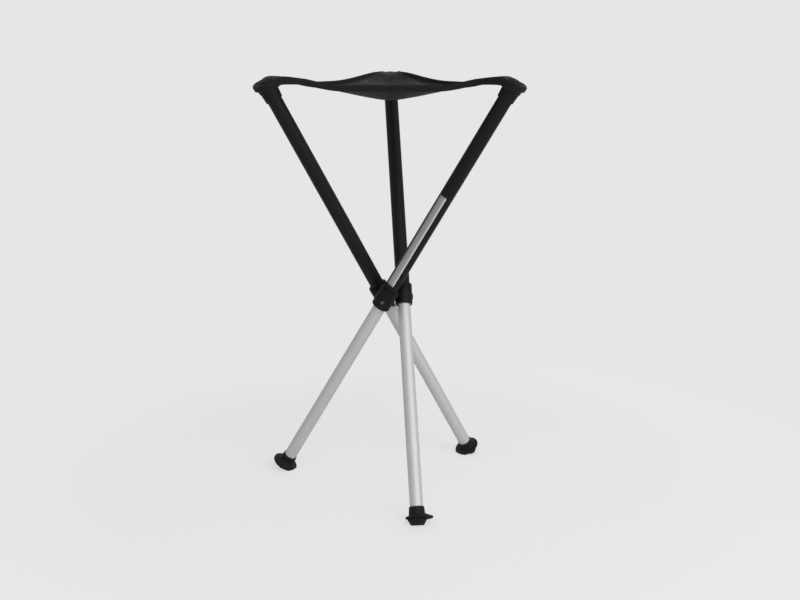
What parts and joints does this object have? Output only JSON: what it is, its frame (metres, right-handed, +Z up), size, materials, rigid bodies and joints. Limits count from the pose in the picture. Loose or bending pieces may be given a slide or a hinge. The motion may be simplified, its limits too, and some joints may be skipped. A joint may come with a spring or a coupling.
{
  "type": "telescopic stool",
  "caption": "Collapsible stool with crossing telescopic legs on a central hub, a sagging fabric seat and round rubber feet.",
  "frame": {"origin": "on the floor, under the middle of the stool's box, stool open and legs drawn out", "axes": "+Z up, +Y towards the rear seat corner, the long front edge of the seat runs along X"},
  "size_m": [0.3907, 0.4187, 0.6504],
  "materials": {
    "black_tube": "satin black anodised aluminium",
    "silver_tube": "matt silver anodised aluminium",
    "black_plastic": "moulded black plastic",
    "red_plastic": "bright red moulded plastic",
    "white_plastic": "slippery off-white plastic",
    "spring_steel": "polished spring steel",
    "rivet_steel": "plain steel",
    "black_rubber": "matt black rubber",
    "seat_cloth": "black woven polyester and net",
    "seat_webbing": "black binding tape",
    "label_foil": "satin silver foil, bare"
  },
  "bodies": {
    "hub": {"hub_core": "black_plastic", "pivot_rivet_left": "rivet_steel", "pivot_rivet_right": "rivet_steel", "pivot_rivet_rear": "rivet_steel", "seat_panel": "seat_cloth", "edge_band_front": "seat_webbing", "edge_band_right": "seat_webbing", "edge_band_left": "seat_webbing"},
    "leg_left": {"outer_tube_left": "black_tube", "top_cap_left": "black_plastic", "hub_collar_left": "black_plastic", "seat_pocket_left": "seat_cloth"},
    "leg_right": {"outer_tube_right": "black_tube", "top_cap_right": "black_plastic", "hub_collar_right": "black_plastic", "seat_pocket_right": "seat_cloth", "label_strip": "label_foil"},
    "leg_rear": {"outer_tube_rear": "black_tube", "top_cap_rear": "black_plastic", "hub_collar_rear": "black_plastic", "seat_pocket_rear": "seat_cloth"},
    "lower_left": {"inner_tube_left": "silver_tube", "slide_bush_left": "white_plastic", "catch_pin_left": "rivet_steel", "catch_spring_left": "spring_steel", "foot_left": "black_rubber"},
    "button_left": {"release_button_left": "red_plastic"},
    "lower_right": {"inner_tube_right": "silver_tube", "slide_bush_right": "white_plastic", "catch_pin_right": "rivet_steel", "catch_spring_right": "spring_steel", "foot_right": "black_rubber"},
    "button_right": {"release_button_right": "red_plastic"},
    "lower_rear": {"inner_tube_rear": "silver_tube", "slide_bush_rear": "white_plastic", "catch_pin_rear": "rivet_steel", "catch_spring_rear": "spring_steel", "foot_rear": "black_rubber"},
    "button_rear": {"release_button_rear": "red_plastic"}
  },
  "joints": [
    {"name": "fold_rear", "type": "hinge", "parent": "hub", "child": "leg_rear", "pos_m": [0.02117, -0.01018, 0.306], "axis": [0.9948, 0.1018, 0], "range_deg": [0, 31.5], "deforming": ["seat_panel", "edge_band_front", "edge_band_right", "edge_band_left"]},
    {"name": "slide_rear", "type": "slide", "parent": "leg_rear", "child": "lower_rear", "axis": [-0.0532, 0.5198, 0.8526], "range_m": [0, 0.3139]},
    {"name": "press_rear", "type": "slide", "parent": "leg_rear", "child": "button_rear", "axis": [-0.9498, -0.2899, 0.1175], "range_m": [0, 0.0016], "stiffness_N_per_m": 600, "springref_m": -0.001},
    {"name": "fold_left", "type": "hinge", "parent": "hub", "child": "leg_left", "pos_m": [-0.01202, 0.00471, 0.306], "axis": [-0.5855, 0.8107, 0], "range_deg": [0, 31.5]},
    {"name": "slide_left", "type": "slide", "parent": "leg_left", "child": "lower_left", "axis": [-0.4236, -0.3059, 0.8526], "range_m": [0, 0.3139]},
    {"name": "press_left", "type": "slide", "parent": "leg_left", "child": "button_left", "axis": [0.726, -0.6776, 0.1175], "range_m": [0, 0.0016], "stiffness_N_per_m": 600, "springref_m": -0.001},
    {"name": "fold_right", "type": "hinge", "parent": "hub", "child": "leg_right", "pos_m": [-0.00832, -0.03147, 0.306], "axis": [-0.4093, -0.9124, 0], "range_deg": [0, 31.5]},
    {"name": "slide_right", "type": "slide", "parent": "leg_right", "child": "lower_right", "axis": [0.4767, -0.2139, 0.8526], "range_m": [0, 0.3139]},
    {"name": "press_right", "type": "slide", "parent": "leg_right", "child": "button_right", "axis": [0.2238, 0.9675, 0.1175], "range_m": [0, 0.0016], "stiffness_N_per_m": 600, "springref_m": -0.001}
  ],
  "couplings": [
    {"joint": "fold_left", "follows": "fold_rear", "ratio": 1},
    {"joint": "fold_right", "follows": "fold_rear", "ratio": 1}
  ]
}
